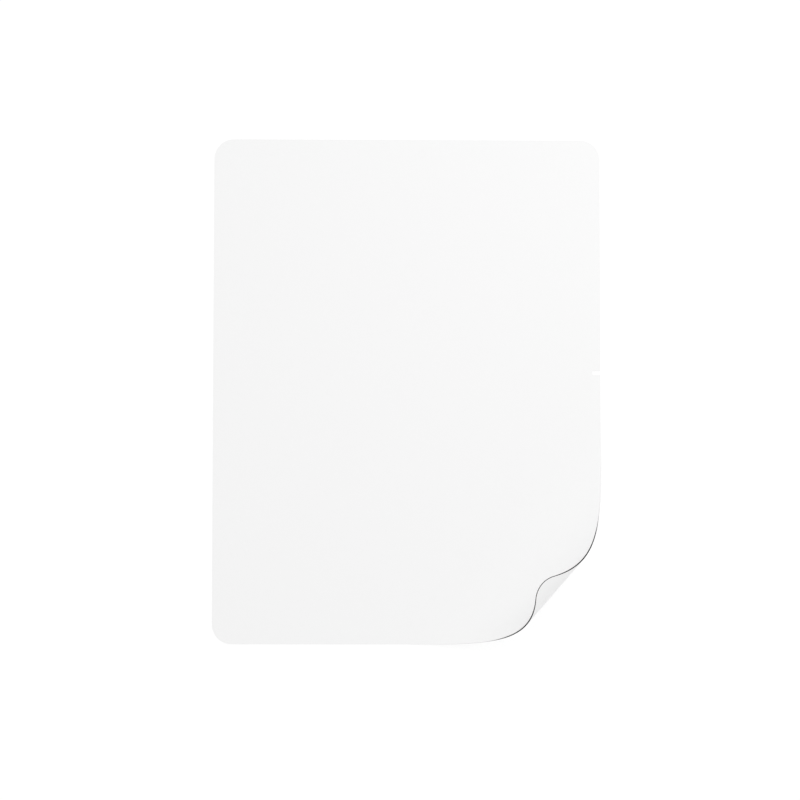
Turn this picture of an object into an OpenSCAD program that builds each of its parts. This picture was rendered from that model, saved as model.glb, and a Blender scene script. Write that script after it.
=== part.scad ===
// Paper-like screen protector for a large tablet: one thin film that lies flat,
// with its lower right corner rolled up off the surface.
// Millimetres. The origin is the middle of the underside, +X runs to the notched edge,
// +Y along the long edges away from the rolled corner, and +Z out of the matte face.

/* [Sheet] */
// Width of the film, along its short edges
sheet_w = 213.5; // [190:0.5:240]
// Length of the film, along its long edges
sheet_h = 279; // [250:0.5:320]
// Thickness of the film with its matte coat and its adhesive
sheet_t = 0.65; // [0.3:0.05:1]
// Radius of the cut corners
corner_r = 11; // [6:0.5:16]

/* [Edge notch] */
// How far the notch runs in from the right edge
notch_depth = 4.4; // [2:0.2:8]
// Width of the notch, along the edge
notch_w = 2.2; // [1.6:0.2:6]
// Radius of the notch's two inner corners
notch_r = 0.6; // [0.2:0.1:0.8]
// How far the middle of the notch is above the middle of the sheet
notch_rise = 10; // [0:1:60]

/* [Rolled corner] */
// Way the corner points while it rolls, in degrees below the short edge
roll_dir = 41; // [36:1:54]
// Distance from the square corner back to the line where the film leaves the flat
roll_start = 83; // [60:1:95]
// Bend radius at that line, where the film only begins to lift
roll_r_start = 110; // [80:1:200]
// Bend radius at the tip of the corner, where the roll is tightest
roll_r_tip = 18; // [17:0.5:30]

/* [Hidden] */

$fn = 96;
// The rolled part begins this far short of the fold line, so that it shares a band of
// film with the flat part
lap = 1;
// Steps along the straight-edged stretch of the roll, and round its corner arc
straight_steps = 96;
arc_steps = 24;
// The corner arc stops this many degrees short of its middle, and a short chord closes it
arc_end = 3;

// The roll is worked out in its own frame: x from the fold line towards the corner,
// y along the fold line. The square corner is at [roll_start, 0].
arc_x = roll_start - corner_r * (cos(roll_dir) + sin(roll_dir));
arc_y = corner_r * (cos(roll_dir) - sin(roll_dir));
roll_length = arc_x + corner_r;
// The first of the two edges meets the corner arc this far past the fold line
arc_from = arc_x + corner_r * min(cos(roll_dir), sin(roll_dir));
arc_angle = acos((arc_from - arc_x) / corner_r);

// Distances past the fold line at which the section is laid out
stations = concat(
    [-lap],
    [for (i = [0 : straight_steps]) arc_from * i / straight_steps],
    [for (i = [1 : arc_steps]) arc_x + corner_r * cos(arc_angle + (arc_end - arc_angle) * i / arc_steps)]
);
last = len(stations) - 1;

// Turn of the film, in degrees, at distance s: its curvature grows evenly from the
// fold line to the tip, as in a spiral
function turn(s) = s <= 0 ? 0 :
    (s / roll_r_start + s * s / (2 * roll_length) * (1 / roll_r_tip - 1 / roll_r_start)) * 180 / PI;

// Middle of the film at each station, walked in steps of unchanged length, so that
// the rolled corner would lie flat again
middle = [
    for (i = 0, p = [-lap, sheet_t / 2]; i <= last; p = i < last ? p + walk(i) : p, i = i + 1) p
];
function walk(i) =
    let (a = turn((stations[i] + stations[i + 1]) / 2))
    (stations[i + 1] - stations[i]) * [cos(a), sin(a)];

// Ends of the film along the fold line at distance s: the straight edge, then the arc
function half_chord(s) = sqrt(max(0, corner_r * corner_r - (s - arc_x) * (s - arc_x)));
function right_end(s) = s < arc_x + corner_r * cos(roll_dir)
    ? (roll_start - s) / tan(roll_dir)
    : arc_y + half_chord(s);
function bottom_end(s) = s < arc_x + corner_r * sin(roll_dir)
    ? -(roll_start - s) * tan(roll_dir)
    : arc_y - half_chord(s);

// Cross-section at a station: underside, then matte face, each from the bottom edge
// to the right edge
function section(i) =
    let (
        s = stations[i],
        a = turn(s),
        half = sheet_t / 2 * [-sin(a), cos(a)],
        under = middle[i] - half,
        matte = middle[i] + half
    )
    [
        [under.x, bottom_end(s), under.y],
        [under.x, right_end(s), under.y],
        [matte.x, right_end(s), matte.y],
        [matte.x, bottom_end(s), matte.y]
    ];

// Cut outline of the film before it is rolled
module outline() {
    square([sheet_w - 2 * corner_r, sheet_h], center = true);
    square([sheet_w, sheet_h - 2 * corner_r], center = true);
    for (x = [-1, 1], y = [-1, 1])
        translate([x * (sheet_w / 2 - corner_r), y * (sheet_h / 2 - corner_r)])
            circle(r = corner_r);
}

// Slot cut into the right edge, with rounded inner corners
module notch() {
    inner = notch_w / 2 - notch_r;
    translate([sheet_w / 2 - notch_depth, notch_rise]) {
        translate([notch_r, -notch_w / 2])
            square([notch_depth, notch_w]);
        translate([0, -inner])
            square([notch_depth, 2 * inner]);
        for (y = [-inner, inner])
            translate([notch_r, y])
                circle(r = notch_r);
    }
}

// Places its children in the frame of the roll
module at_fold_line() {
    translate([sheet_w / 2, -sheet_h / 2])
        rotate(-roll_dir)
            translate([-roll_start, 0])
                children();
}

// Everything past the fold line, as an area to be cut away from the flat part
module past_fold_line() {
    reach = sheet_w + sheet_h;
    at_fold_line()
        translate([0, -reach / 2])
            square([reach, reach]);
}

// Part of the film that lies on the surface
module flat_field() {
    linear_extrude(height = sheet_t)
        difference() {
            outline();
            notch();
            past_fold_line();
        }
}

// Part of the film that curls up, as a skin over its cross-sections
module rolled_corner() {
    points = [for (i = [0 : last]) each section(i)];
    first_end = [[0, 1, 2], [0, 2, 3]];
    last_end = [for (f = first_end) [for (k = [2 : -1 : 0]) 4 * last + f[k]]];
    sides = [
        for (i = [0 : last - 1], k = [0 : 3])
            let (a = 4 * i + k, b = 4 * i + (k + 1) % 4)
            each [[a, a + 4, b + 4], [a, b + 4, b]]
    ];
    at_fold_line()
        polyhedron(points = points, faces = concat(first_end, sides, last_end));
}

// The whole film: one piece, with no joint
module film() {
    color("whitesmoke")
        union() {
            flat_field();
            rolled_corner();
        }
}

film();
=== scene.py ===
# %% [markdown]
# A paper-like screen protector for a large tablet is one thin sheet of film. Its top has a
# matte coat that feels like paper under a pen, and its underside has a clear adhesive. Here
# it lies flat with its lower right corner rolled up, so that all three finishes show: the
# matte face, the underside of the rolled corner and the cut edge between them, which is
# painted dark as shade.
#
# The imported CAD film gives the frame and the true size. This script models the same sheet
# again for its looks: it is cut flat, rolled up, given its thickness, and then finished.

# %% Load the imported film
import math

import bmesh
import bpy
from mathutils import Matrix, Vector


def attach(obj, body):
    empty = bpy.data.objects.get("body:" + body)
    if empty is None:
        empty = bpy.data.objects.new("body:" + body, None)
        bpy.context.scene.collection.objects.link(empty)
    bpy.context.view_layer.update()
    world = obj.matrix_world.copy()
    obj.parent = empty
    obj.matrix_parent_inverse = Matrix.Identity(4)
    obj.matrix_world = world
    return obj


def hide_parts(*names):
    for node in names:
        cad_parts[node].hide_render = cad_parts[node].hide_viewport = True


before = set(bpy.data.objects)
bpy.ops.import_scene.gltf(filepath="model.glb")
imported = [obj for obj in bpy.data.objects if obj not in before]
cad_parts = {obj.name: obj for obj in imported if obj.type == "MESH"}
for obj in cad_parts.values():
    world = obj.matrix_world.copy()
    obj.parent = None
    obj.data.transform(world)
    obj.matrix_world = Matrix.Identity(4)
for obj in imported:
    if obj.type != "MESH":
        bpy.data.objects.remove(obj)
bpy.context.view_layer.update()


def in_mm(metres):
    """A length in metres, as millimetres with two decimals, to be printed."""
    return round(metres * 1000, 2)


# %% [markdown]
# The sheet is worked out from a few sizes that can be measured on the real film, in metres.
# The roll is a spiral: where the film leaves the flat it hardly bends, and the bend gets
# evenly tighter towards the tip of the corner. Points placed one by one could draw the same
# roll, but a change to one size would then mean placing them all again.

# %% Sizes of the film
SHEET_W = 0.2135
SHEET_H = 0.279
SHEET_T = 0.00065
CORNER_R = 0.011

NOTCH_DEPTH = 0.0044
NOTCH_W = 0.0022
NOTCH_R = 0.0006
NOTCH_RISE = 0.010

ROLL_DIR = math.radians(41)
ROLL_START = 0.083
ROLL_R_START = 0.110
ROLL_R_TIP = 0.018

square_corner = Vector((SHEET_W / 2, -SHEET_H / 2, SHEET_T / 2))
roll_length = ROLL_START + CORNER_R * (1 - math.cos(ROLL_DIR) - math.sin(ROLL_DIR))
print("film past the fold line, in mm:", in_mm(roll_length))

# %% [markdown]
# The blank is a plane at the middle of the film's thickness. In edit mode it is scaled to the
# sheet's size, and its four corners are rounded by a bevel of the corner points alone. A
# circle cut by hand into each corner would do the same with more work.

# %% Cut the blank with its rounded corners
CORNER_STEPS = 32


def deselect_everything():
    """Nothing stays selected, so that the next operator acts only on what it is given."""
    for obj in bpy.context.selected_objects:
        obj.select_set(False)


deselect_everything()
bpy.ops.mesh.primitive_plane_add(size=1, location=(0, 0, 0))
film = bpy.context.object
film.name = "film_sheet"
film.data.name = "film_sheet"
bpy.ops.object.mode_set(mode="EDIT")
bpy.ops.mesh.select_mode(type="VERT")
bpy.ops.transform.resize(value=(SHEET_W, SHEET_H, 1), center_override=(0, 0, 0))
bpy.ops.transform.translate(value=(0, 0, SHEET_T / 2))
bpy.ops.mesh.bevel(offset=CORNER_R, segments=CORNER_STEPS, profile=0.5, affect="VERTICES")
outline = bmesh.from_edit_mesh(film.data)
print("points round the blank:", len(outline.verts))

# %% [markdown]
# The right edge has a small slot. Three straight cuts mark it out, and the face between them
# is deleted. A Boolean modifier would cut it too, but it needs a block that has to be made,
# placed and thrown away again. The cuts snap to points that are very near, so they are told to
# do that only within a hair's breadth.

# %% Cut the notch
HAIR = 1e-6
notch_floor = SHEET_W / 2 - NOTCH_DEPTH
notch_low = NOTCH_RISE - NOTCH_W / 2
notch_high = NOTCH_RISE + NOTCH_W / 2

for place, across in (
    ((notch_floor, 0, 0), (1, 0, 0)),
    ((0, notch_low, 0), (0, 1, 0)),
    ((0, notch_high, 0), (0, 1, 0)),
):
    bpy.ops.mesh.select_all(action="SELECT")
    bpy.ops.mesh.bisect(plane_co=place, plane_no=across, threshold=HAIR)

bpy.ops.mesh.select_mode(type="FACE")
bpy.ops.mesh.select_all(action="DESELECT")
outline = bmesh.from_edit_mesh(film.data)
for face in outline.faces:
    centre = face.calc_center_median()
    face.select_set(centre.x > notch_floor and notch_low < centre.y < notch_high)
bpy.ops.mesh.delete(type="FACE")
outline = bmesh.from_edit_mesh(film.data)
print("faces left by the cuts:", len(outline.faces))

# %% [markdown]
# The cuts ran right across the sheet, so they are dissolved again, and the sheet is one face
# without a stray line. The notch's two inner corners are then rounded, as on the real film,
# where a sharp inner corner would start a tear.

# %% Clean the sheet and round the notch
NOTCH_STEPS = 6
STRAIGHT_WITHIN = math.radians(0.5)


def select_points(sheet_mesh, wanted):
    """Selects the points of an edit mesh for which wanted(point) is true."""
    bpy.ops.mesh.select_all(action="DESELECT")
    for point in sheet_mesh.verts:
        point.select_set(wanted(point))
    sheet_mesh.select_flush_mode()


def at_notch_floor(point):
    """True for the two inner corners of the notch."""
    return abs(point.co.x - notch_floor) < HAIR and notch_low - HAIR < point.co.y < notch_high + HAIR


bpy.ops.mesh.select_mode(type="EDGE")
bpy.ops.mesh.select_all(action="DESELECT")
outline = bmesh.from_edit_mesh(film.data)
for edge in outline.edges:
    edge.select_set(not edge.is_boundary)
bpy.ops.mesh.dissolve_edges(use_verts=False)
bpy.ops.mesh.select_mode(type="VERT")
bpy.ops.mesh.select_all(action="SELECT")
bpy.ops.mesh.dissolve_limited(angle_limit=STRAIGHT_WITHIN)

outline = bmesh.from_edit_mesh(film.data)
select_points(outline, at_notch_floor)
bpy.ops.mesh.bevel(offset=NOTCH_R, segments=NOTCH_STEPS, profile=0.5, affect="VERTICES")
outline = bmesh.from_edit_mesh(film.data)
flat_area = sum(face.calc_area() for face in outline.faces)
print("points round the sheet:", len(outline.verts))
print("flat area, in square cm:", round(flat_area * 1e4, 2))

# %% [markdown]
# The finish has to follow the film round the roll, so each point is given its place on the
# flat sheet now, as a UV map in metres, before anything bends. Coordinates taken in space
# would stretch the grain where the film stands up.

# %% Map the flat sheet
flat_map = outline.loops.layers.uv.verify()
for face in outline.faces:
    for loop in face.loops:
        loop[flat_map].uv = (loop.vert.co.x + SHEET_W / 2, loop.vert.co.y + SHEET_H / 2)
bmesh.update_edit_mesh(film.data)
film.data.uv_layers[0].name = "flat_sheet"
print("maps on the film:", [layer.name for layer in film.data.uv_layers])

# %% [markdown]
# A film can be rolled without any stretch, because it bends along straight lines only. The
# sheet is turned so that these lines run along Y and the corner points along X, and it is cut
# by many of them between the fold line and the tip. Cuts along the sheet's own edges would be
# simpler, but the film would have to bend across them, which makes creases.

# %% Draw the bending lines
ROLL_STEPS = 120


def turn_points(angle, axis, centre):
    """Turns the selected points by an angle about an axis through a point, seen from the
    axis's tip as a turn to the left. Without a window the operator turns the other way."""
    bpy.ops.transform.rotate(value=-angle, orient_axis=axis, center_override=centre)


bpy.ops.mesh.select_all(action="SELECT")
turn_points(ROLL_DIR, "Z", square_corner)

fold_x = square_corner.x - ROLL_START
step = roll_length / ROLL_STEPS
for number in range(ROLL_STEPS):
    bpy.ops.mesh.select_all(action="SELECT")
    line = (fold_x + number * step, 0, 0)
    bpy.ops.mesh.bisect(plane_co=line, plane_no=(1, 0, 0), threshold=HAIR)
print("distance between bending lines, in mm:", in_mm(step))

# %% [markdown]
# The corner is rolled up by hand, as it were: starting from the tip, everything past a line is
# turned up by a small angle, then the same is done at the next line inwards. Each strip stays
# as flat and as long as it was, so the film's area doesn't change. The Simple Deform modifier
# bends too, but only with one radius from end to end.

# %% Roll the corner up


def heading(reach):
    """Angle at which the film climbs, at a distance past the fold line."""
    tighter = 1 / ROLL_R_TIP - 1 / ROLL_R_START
    return reach / ROLL_R_START + reach * reach / (2 * roll_length) * tighter


outline = bmesh.from_edit_mesh(film.data)
reaches = [point.co.x - fold_x for point in outline.verts]
for number in reversed(range(ROLL_STEPS)):
    hinge = number * step
    before = heading(hinge - step / 2) if number else 0
    climb = heading(hinge + step / 2) - before
    outline = bmesh.from_edit_mesh(film.data)
    select_points(outline, lambda point: reaches[point.index] > hinge + HAIR)
    turn_points(-climb, "Y", (fold_x + hinge, 0, SHEET_T / 2))

bpy.ops.mesh.select_all(action="SELECT")
turn_points(-ROLL_DIR, "Z", square_corner)
outline = bmesh.from_edit_mesh(film.data)
print("top of the roll, in mm:", in_mm(max(point.co.z for point in outline.verts)))
rolled_area = sum(face.calc_area() for face in outline.faces)
print("area after rolling, in square cm:", round(rolled_area * 1e4, 2))
bpy.ops.object.mode_set(mode="OBJECT")

# %% [markdown]
# Solidify gives the film its thickness, half of it on each side of the middle. An extrusion
# would do so too, but the modifier also gives the new underside and the rim materials of their
# own: the matte face is slot 0, the underside slot 1 and the cut edge slot 2. Faces that meet
# at a small angle are shaded smooth, so the roll shows no strips and the cut edge stays sharp.

# %% Give the film its thickness
SMOOTH_UNDER = math.radians(35)

for name in ("matte_face", "adhesive_face", "cut_edge"):
    film.data.materials.append(bpy.data.materials.new(name))

thickness = film.modifiers.new("thickness", "SOLIDIFY")
thickness.thickness = SHEET_T
thickness.offset = 0
thickness.use_even_offset = True
thickness.material_offset = 1
thickness.material_offset_rim = 2
bpy.ops.object.modifier_apply(modifier=thickness.name)
bpy.ops.object.shade_smooth_by_angle(angle=SMOOTH_UNDER)
bpy.ops.object.transform_apply(location=True, rotation=True, scale=True)
print("film faces:", len(film.data.polygons))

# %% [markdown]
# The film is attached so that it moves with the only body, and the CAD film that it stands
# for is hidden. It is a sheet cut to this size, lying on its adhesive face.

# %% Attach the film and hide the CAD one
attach(film, "root")
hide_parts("film")
print("the film lies flat over, in mm:", in_mm(SHEET_W), "by", in_mm(SHEET_H))

# %% [markdown]
# The matte coat is a fine tooth of tiny bumps, which scatters light so widely that the face
# looks like paper. It is a rough white surface with a grain that is only just visible close
# up. A glossy shader with a strong bump map would sparkle, which this coat doesn't.

# %% Finish the matte face
FACE_WHITE = 0.93
FACE_SWING = 0.03
FACE_ROUGH = 0.85
FACE_GLOSS = 0.3
TOOTH_SIZE = 0.0003
TOOTH_DEPTH = 0.00006
NOISE_DETAIL = 3
NOISE_ROUGH = 0.6


def fresh_tree(material, rough, gloss):
    """An empty node tree with a Principled shader of that roughness and gloss, joined to its
    output."""
    material.use_nodes = True
    tree = material.node_tree
    tree.nodes.clear()
    shader = tree.nodes.new("ShaderNodeBsdfPrincipled")
    shader.inputs["Roughness"].default_value = rough
    shader.inputs["Specular IOR Level"].default_value = gloss
    output = tree.nodes.new("ShaderNodeOutputMaterial")
    tree.links.new(shader.outputs["BSDF"], output.inputs["Surface"])
    return tree, shader


def add_grain(tree, shader, size, white, swing, depth):
    """A noise on the flat sheet's own map, of spots of that size. It tints the surface by a
    swing about a white, and raises it by a depth. Returns the node that holds the tint."""
    place = tree.nodes.new("ShaderNodeUVMap")
    place.uv_map = "flat_sheet"
    noise = tree.nodes.new("ShaderNodeTexNoise")
    noise.inputs["Scale"].default_value = 1 / size
    noise.inputs["Detail"].default_value = NOISE_DETAIL
    noise.inputs["Roughness"].default_value = NOISE_ROUGH
    tint = tree.nodes.new("ShaderNodeMapRange")
    tint.inputs["To Min"].default_value = white - swing
    tint.inputs["To Max"].default_value = white + swing
    bump = tree.nodes.new("ShaderNodeBump")
    bump.inputs["Distance"].default_value = depth
    tree.links.new(place.outputs["UV"], noise.inputs["Vector"])
    tree.links.new(noise.outputs["Fac"], tint.inputs["Value"])
    tree.links.new(tint.outputs["Result"], shader.inputs["Base Color"])
    tree.links.new(noise.outputs["Fac"], bump.inputs["Height"])
    tree.links.new(bump.outputs["Normal"], shader.inputs["Normal"])
    return tint


tree, shader = fresh_tree(bpy.data.materials["matte_face"], FACE_ROUGH, FACE_GLOSS)
add_grain(tree, shader, TOOTH_SIZE, FACE_WHITE, FACE_SWING, TOOTH_DEPTH)
print("spots of the matte tooth, in mm:", in_mm(TOOTH_SIZE))

# %% [markdown]
# The underside carries the adhesive, which is smoother than the coat, a little greyer, and
# only very gently uneven. The face's own material could be used here too, but then the strip
# that shows past the roll would look as dry as the front.

# %% Finish the underside
BACK_WHITE = 0.92
BACK_SWING = 0.008
BACK_ROUGH = 0.5
BACK_GLOSS = 0.3
RIPPLE_SIZE = 0.003
RIPPLE_DEPTH = 0.00002

tree, shader = fresh_tree(bpy.data.materials["adhesive_face"], BACK_ROUGH, BACK_GLOSS)
add_grain(tree, shader, RIPPLE_SIZE, BACK_WHITE, BACK_SWING, RIPPLE_DEPTH)
print("spots of the adhesive, in mm:", in_mm(RIPPLE_SIZE))

# %% [markdown]
# The cut edge's tone is painted light and shade. Clear film looks dark where it is cut,
# because the light that enters it runs on inside, and this dark is painted into the edge's
# colour as shade. Along the flat part the table lights the edge from close by, so painted
# light makes it nearly white there, and the painted dark line only sets in where the corner
# lifts. The painted tone therefore follows the height above the table, which is the Z of the
# Object coordinates, and a fine speckle from the blade breaks it up. One tone all round would
# draw a hard outline.

# %% Finish the cut edge
# Painted light for the edge near the table, painted shade for the edge up in the roll, and the
# heights between which one turns into the other.
EDGE_PAINTED_LIGHT = 0.85
EDGE_PAINTED_SHADE = 0.015
PAINTED_LIGHT_BELOW = 0.009
PAINTED_SHADE_ABOVE = 0.019
EDGE_ROUGH = 0.6
EDGE_GLOSS = 0.1
SPECKLE_SIZE = 0.0006
SPECKLE_SWING = 0.2
SPECKLE_DEPTH = 0.00002

tree, shader = fresh_tree(bpy.data.materials["cut_edge"], EDGE_ROUGH, EDGE_GLOSS)
speckle = add_grain(tree, shader, SPECKLE_SIZE, 1, SPECKLE_SWING, SPECKLE_DEPTH)

place = tree.nodes.new("ShaderNodeTexCoord")
axes = tree.nodes.new("ShaderNodeSeparateXYZ")
# The edge's colour is painted: painted light low down by the table, painted shade where the corner
# lifts.
painted_edge_tone = tree.nodes.new("ShaderNodeMapRange")
painted_edge_tone.interpolation_type = "SMOOTHSTEP"
painted_edge_tone.inputs["From Min"].default_value = PAINTED_LIGHT_BELOW
painted_edge_tone.inputs["From Max"].default_value = PAINTED_SHADE_ABOVE
painted_edge_tone.inputs["To Min"].default_value = EDGE_PAINTED_LIGHT
painted_edge_tone.inputs["To Max"].default_value = EDGE_PAINTED_SHADE
speckled = tree.nodes.new("ShaderNodeMath")
speckled.operation = "MULTIPLY"
tree.links.new(place.outputs["Object"], axes.inputs["Vector"])
tree.links.new(axes.outputs["Z"], painted_edge_tone.inputs["Value"])
tree.links.new(painted_edge_tone.outputs["Result"], speckled.inputs[0])
tree.links.new(speckle.outputs["Result"], speckled.inputs[1])
tree.links.new(speckled.outputs["Value"], shader.inputs["Base Color"])
print("cut edge pale below and dark above, in mm:", in_mm(PAINTED_LIGHT_BELOW), in_mm(PAINTED_SHADE_ABOVE))

# %% [markdown]
# The camera looks almost straight down from 1.8 metres, from a little below the sheet's middle
# and a little to its left, as the slight taper of the sheet in the photograph tells. A Track To
# constraint would aim it too, but leaves out the last small turn about the line of sight. So
# its three directions are worked out, by turning them two at a time. The lens shift then puts
# the sheet at its place in the frame without changing how it tapers.

# %% Set the camera
CAMERA_DISTANCE = 1.8
CAMERA_TILT = math.radians(4.726)
CAMERA_SIDE = math.radians(1.122)
CAMERA_ROLL = math.radians(0.135)
SENSOR_MM = 36
FRAME_PX = 800
FOCAL_PX = 3265.6
SHEET_CENTRE_PX = (406.99, 390.67)


def turn_pair(first, second, angle):
    """Two directions at right angles, both turned by an angle, the first towards the second."""
    return (
        first * math.cos(angle) + second * math.sin(angle),
        second * math.cos(angle) - first * math.sin(angle),
    )


forward, up = turn_pair(Vector((0, 0, -1)), Vector((0, 1, 0)), CAMERA_TILT)
forward, right = turn_pair(forward, Vector((1, 0, 0)), CAMERA_SIDE)
right, up = turn_pair(right, up, CAMERA_ROLL)

camera = bpy.data.objects.new("camera", bpy.data.cameras.new("camera"))
bpy.context.scene.collection.objects.link(camera)
aim = Matrix((right, up, -forward)).transposed()
camera.matrix_world = Matrix.Translation(-forward * CAMERA_DISTANCE) @ aim.to_4x4()
camera.data.sensor_width = SENSOR_MM
camera.data.lens = FOCAL_PX * SENSOR_MM / FRAME_PX
camera.data.shift_x = (FRAME_PX / 2 - SHEET_CENTRE_PX[0]) / FRAME_PX
camera.data.shift_y = (SHEET_CENTRE_PX[1] - FRAME_PX / 2) / FRAME_PX
bpy.context.scene.camera = camera
print("lens, in mm:", round(camera.data.lens, 1))

# %% [markdown]
# White on white only reads if the light is even and not too strong. Nearly all of it comes
# from the world, from all sides, at a level a little under white. Large soft boxes would give
# much the same light, with more to place and balance. Rays that come from the camera, or by
# way of a gloss or through something clear, see the world as pure white instead, so that the
# backdrop is white and yet the film isn't lit too strongly.

# %% Light the studio from all sides
SKY_LEVEL = 0.888
WHITE = (1, 1, 1, 1)


def seen_rays(tree):
    """A value of 1 for rays that show the backdrop: the camera's, and glossy and clear ones."""
    path = tree.nodes.new("ShaderNodeLightPath")
    first = tree.nodes.new("ShaderNodeMath")
    first.operation = "MAXIMUM"
    both = tree.nodes.new("ShaderNodeMath")
    both.operation = "MAXIMUM"
    tree.links.new(path.outputs["Is Camera Ray"], first.inputs[0])
    tree.links.new(path.outputs["Is Glossy Ray"], first.inputs[1])
    tree.links.new(first.outputs["Value"], both.inputs[0])
    tree.links.new(path.outputs["Is Transmission Ray"], both.inputs[1])
    return both.outputs["Value"]


world = bpy.data.worlds.new("studio")
bpy.context.scene.world = world
world.use_nodes = True
tree = world.node_tree
tree.nodes.clear()
sky = tree.nodes.new("ShaderNodeBackground")
sky.inputs["Color"].default_value = WHITE
sky.inputs["Strength"].default_value = SKY_LEVEL
backdrop = tree.nodes.new("ShaderNodeBackground")
backdrop.inputs["Color"].default_value = WHITE
choice = tree.nodes.new("ShaderNodeMixShader")
output = tree.nodes.new("ShaderNodeOutputWorld")
tree.links.new(seen_rays(tree), choice.inputs["Fac"])
tree.links.new(sky.outputs["Background"], choice.inputs[1])
tree.links.new(backdrop.outputs["Background"], choice.inputs[2])
tree.links.new(choice.outputs["Shader"], output.inputs["Surface"])
print("share of white that the sky gives:", SKY_LEVEL)

# %% [markdown]
# Two weak lamps shape that even light. The key lamp is a soft disc above and beyond the upper
# right corner, so the sheet gets slowly darker from there to its lower left. The fill lamp
# shines from the upper left into the open side of the roll. Stronger lamps would give the roll
# a hard shadow, and the photograph shows none.
#
# Each level says how bright the lamp alone makes a pure white surface, where 1 is white: the
# key lamp the middle of the sheet, and the fill lamp a surface that faces it.

# %% Add the lamps
KEY_LEVEL = 0.1
KEY_PLACE = Vector((0.38, 0.36, 0.55))
KEY_SIZE = 0.5
FILL_LEVEL = 0.03
FILL_FROM = Vector((-0.53, 0.46, 0.71))
FILL_ANGLE = math.radians(40)


def new_lamp(name, kind, place):
    """A lamp at a place, which points at the middle of the sheet."""
    lamp = bpy.data.objects.new(name, bpy.data.lights.new(name, kind))
    bpy.context.scene.collection.objects.link(lamp)
    lamp.location = place
    lamp.rotation_euler = place.to_track_quat("Z", "Y").to_euler()
    return lamp.data


key = new_lamp("key_lamp", "AREA", KEY_PLACE)
key.shape = "DISK"
key.size = KEY_SIZE
slant = KEY_PLACE.z / KEY_PLACE.length
key.energy = KEY_LEVEL * math.pi**2 * KEY_PLACE.length_squared / slant

fill = new_lamp("fill_lamp", "SUN", FILL_FROM)
fill.angle = FILL_ANGLE
fill.energy = FILL_LEVEL * math.pi
print("key lamp, in watts:", round(key.energy, 2))
print("fill lamp, in watts per square metre:", round(fill.energy, 3))

# %% [markdown]
# The floor is a plain white plane that takes the film's soft shadow. Where the camera sees it,
# most of it is an even glow of its own, which carries it to the white of the backdrop and makes
# the shadow fainter. A glow added on top would be far brighter than white, and a floor like that
# eats into the film's outline, because the pixels there mix both.

# %% Lay the floor
FLOOR_COLOUR = (0.9, 0.9, 0.9, 1)
FLOOR_ROUGH = 0.9
FLOOR_GLOW = 1.11
GLOW_SHARE = 0.7
FLOOR_SIZE = 12
GAP = 0.00005

deselect_everything()
bpy.ops.mesh.primitive_plane_add(size=FLOOR_SIZE, location=(0, 0, -GAP))
floor = bpy.context.object
floor.name = "floor"
floor.data.materials.append(bpy.data.materials.new("floor"))
tree, shader = fresh_tree(floor.data.materials[0], FLOOR_ROUGH, 0)
shader.inputs["Base Color"].default_value = FLOOR_COLOUR
glow = tree.nodes.new("ShaderNodeEmission")
glow.inputs["Strength"].default_value = FLOOR_GLOW
share = tree.nodes.new("ShaderNodeMath")
share.operation = "MULTIPLY"
share.inputs[1].default_value = GLOW_SHARE
blend = tree.nodes.new("ShaderNodeMixShader")
tree.links.new(seen_rays(tree), share.inputs[0])
tree.links.new(share.outputs["Value"], blend.inputs["Fac"])
tree.links.new(shader.outputs["BSDF"], blend.inputs[1])
tree.links.new(glow.outputs["Emission"], blend.inputs[2])
tree.links.new(blend.outputs["Shader"], tree.nodes["Material Output"].inputs["Surface"])
print("gap between floor and film, in mm:", in_mm(GAP))

# %% [markdown]
# Standard colours show each tone as it is written, while a film-like view would grey the
# whites. The two boxes are kept, so that the shown film can be held against the imported one.

# %% Finish
bpy.context.scene.view_settings.view_transform = "Standard"
